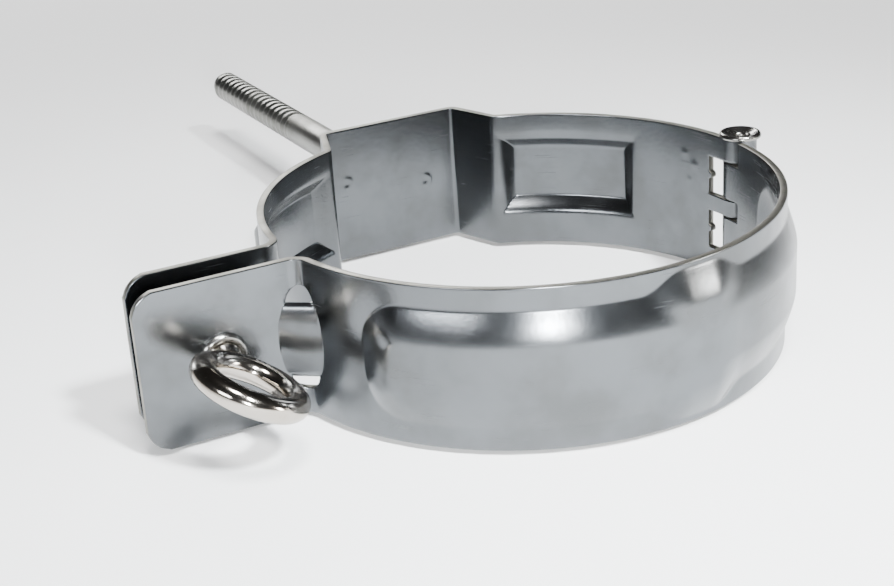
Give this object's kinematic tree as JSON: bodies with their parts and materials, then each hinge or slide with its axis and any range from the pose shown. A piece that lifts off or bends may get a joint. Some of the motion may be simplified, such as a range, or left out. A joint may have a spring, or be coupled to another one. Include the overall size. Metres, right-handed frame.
{
  "type": "hinged pipe clamp",
  "caption": "Hinged pipe clamp: two pressed half bands, a rivet hinge, a wall stud on a flat seat and an eye bolt that closes the ears.",
  "frame": {"origin": "on the pipe's axis at mid height of the band", "axes": "+Z along the pipe's axis, +X towards the hinge, +Y along the wall stud"},
  "size_m": [0.1424, 0.2252, 0.0332],
  "materials": {
    "band_steel": "bright plated sheet, semi-mirror with a fine orange peel",
    "rivet_steel": "bright plated, lightly burnished",
    "stud_zinc": "bright zinc plated, rolled thread",
    "plate_steel": "zinc plated, satin",
    "eye_chrome": "polished chrome plate",
    "clip_steel": "spring steel, dull"
  },
  "bodies": {
    "rear": {"rear_half": "band_steel", "hinge_pin": "rivet_steel", "stud": "stud_zinc", "nut_plate": "plate_steel", "weld_nut": "plate_steel"},
    "front": {"front_half": "band_steel", "eye_collar": "rivet_steel"},
    "clip": {"retaining_clip": "clip_steel"},
    "bolt": {"eye_bolt": "eye_chrome"}
  },
  "joints": [
    {"name": "front_swing", "type": "hinge", "parent": "rear", "child": "front", "pos_m": [0.05435, 0, 0], "axis": [0, 0, 1], "range_deg": [-1.5, 150]},
    {"name": "bolt_float", "type": "slide", "parent": "front", "child": "clip", "axis": [0, -1, 0], "range_m": [0, 0.0024]},
    {"name": "bolt_spin", "type": "hinge", "parent": "clip", "child": "bolt", "pos_m": [-0.0676, -0.0211, 0], "axis": [0, -1, 0], "continuous": true}
  ]
}
